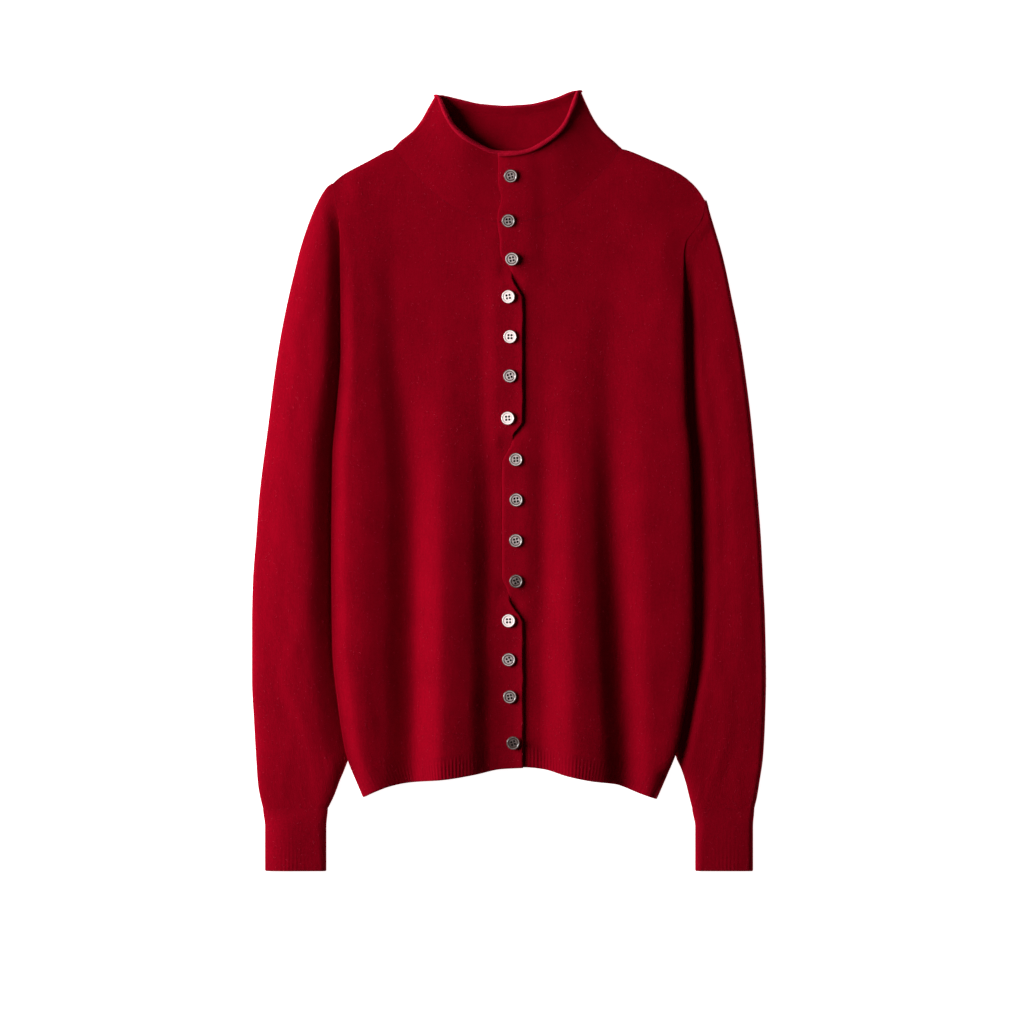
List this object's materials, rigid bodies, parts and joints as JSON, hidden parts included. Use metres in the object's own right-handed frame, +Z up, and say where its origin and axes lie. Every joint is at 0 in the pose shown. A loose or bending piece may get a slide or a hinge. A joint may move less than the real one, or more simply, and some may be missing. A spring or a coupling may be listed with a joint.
{
  "type": "button cardigan",
  "caption": "Long-sleeved button cardigan in fine knit with a funnel neck and ribbed hem and cuffs, laid flat on its back.",
  "frame": {"origin": "under the middle of the garment, on the surface that it lies on", "axes": "+Z up out of the garment's front, +Y towards the neck, +X towards the wearer's left sleeve"},
  "size_m": [0.4729, 0.7203, 0.0216],
  "materials": {
    "front_right": "fine plain knit in deep red, soft and slightly fuzzy",
    "front_left": "fine plain knit in deep red, soft and slightly fuzzy",
    "back_panel": "fine plain knit in deep red, soft and slightly fuzzy",
    "collar": "fine plain knit in deep red, soft and slightly fuzzy",
    "sleeve_right": "fine plain knit in deep red, soft and slightly fuzzy",
    "sleeve_left": "fine plain knit in deep red, soft and slightly fuzzy",
    "hem_front_right": "deep red rib knit",
    "hem_front_left": "deep red rib knit",
    "hem_back": "deep red rib knit",
    "cuff_right": "deep red rib knit",
    "cuff_left": "deep red rib knit",
    "button_01": "polished shell, grey with a pale sheen",
    "button_02": "polished shell, grey with a pale sheen",
    "button_03": "polished shell, grey with a pale sheen",
    "button_04": "polished shell, grey with a pale sheen",
    "button_05": "polished shell, grey with a pale sheen",
    "button_06": "polished shell, grey with a pale sheen",
    "button_07": "polished shell, grey with a pale sheen",
    "button_08": "polished shell, grey with a pale sheen",
    "button_09": "polished shell, grey with a pale sheen",
    "button_10": "polished shell, grey with a pale sheen",
    "button_11": "polished shell, grey with a pale sheen",
    "button_12": "polished shell, grey with a pale sheen",
    "button_13": "polished shell, grey with a pale sheen",
    "button_14": "polished shell, grey with a pale sheen",
    "button_15": "polished shell, grey with a pale sheen"
  },
  "bodies": {
    "root": {"front_right": "front_right", "front_left": "front_left", "back_panel": "back_panel", "collar": "collar", "sleeve_right": "sleeve_right", "sleeve_left": "sleeve_left", "hem_front_right": "hem_front_right", "hem_front_left": "hem_front_left", "hem_back": "hem_back", "cuff_right": "cuff_right", "cuff_left": "cuff_left", "button_01": "button_01", "button_02": "button_02", "button_03": "button_03", "button_04": "button_04", "button_05": "button_05", "button_06": "button_06", "button_07": "button_07", "button_08": "button_08", "button_09": "button_09", "button_10": "button_10", "button_11": "button_11", "button_12": "button_12", "button_13": "button_13", "button_14": "button_14", "button_15": "button_15"}
  },
  "joints": []
}
